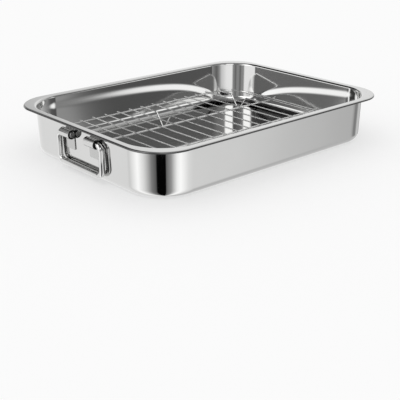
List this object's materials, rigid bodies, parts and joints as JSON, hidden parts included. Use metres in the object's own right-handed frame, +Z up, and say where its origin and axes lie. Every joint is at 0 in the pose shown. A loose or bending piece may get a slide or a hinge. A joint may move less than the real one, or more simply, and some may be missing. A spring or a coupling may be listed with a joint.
{
  "type": "roasting pan with rack",
  "caption": "Deep rectangular steel roasting pan with a flat rim and swinging bail handles, and a loose wire rack on V feet that holds food clear of the drippings.",
  "frame": {"origin": "middle of the pan's flat underside, where it stands", "axes": "+X along the pan towards its right handle, +Y towards the back long side, +Z up"},
  "size_m": [0.4, 0.298, 0.061],
  "materials": {
    "pan_steel": "polished stainless sheet",
    "handle_steel": "polished stainless rod and strip",
    "rack_wire": "bright plated wire"
  },
  "bodies": {
    "pan": {"pan_body": "pan_steel", "left_front_clip": "handle_steel", "left_back_clip": "handle_steel", "right_front_clip": "handle_steel", "right_back_clip": "handle_steel"},
    "left_handle": {"left_bail": "handle_steel"},
    "right_handle": {"right_bail": "handle_steel"},
    "rack": {"rack_rim": "rack_wire", "rack_long_wire_front": "rack_wire", "rack_long_wire_back": "rack_wire", "rack_cross_wire_01": "rack_wire", "rack_cross_wire_02": "rack_wire", "rack_cross_wire_03": "rack_wire", "rack_cross_wire_04": "rack_wire", "rack_cross_wire_05": "rack_wire", "rack_cross_wire_06": "rack_wire", "rack_cross_wire_07": "rack_wire", "rack_cross_wire_08": "rack_wire", "rack_cross_wire_09": "rack_wire", "rack_cross_wire_10": "rack_wire", "rack_cross_wire_11": "rack_wire", "rack_cross_wire_12": "rack_wire", "rack_cross_wire_13": "rack_wire", "rack_cross_wire_14": "rack_wire", "rack_foot_wire_left": "rack_wire", "rack_foot_wire_middle": "rack_wire", "rack_foot_wire_right": "rack_wire"}
  },
  "joints": [
    {"name": "left_bail_swing", "type": "hinge", "parent": "pan", "child": "left_handle", "pos_m": [-0.19384, 0, 0.0466], "axis": [0, 1, 0], "range_deg": [0, 135]},
    {"name": "right_bail_swing", "type": "hinge", "parent": "pan", "child": "right_handle", "pos_m": [0.19384, 0, 0.0466], "axis": [0, -1, 0], "range_deg": [0, 135]},
    {"name": "rack_lift", "type": "slide", "parent": "pan", "child": "rack", "axis": [0, 0, 1], "range_m": [0, 0.1]}
  ]
}
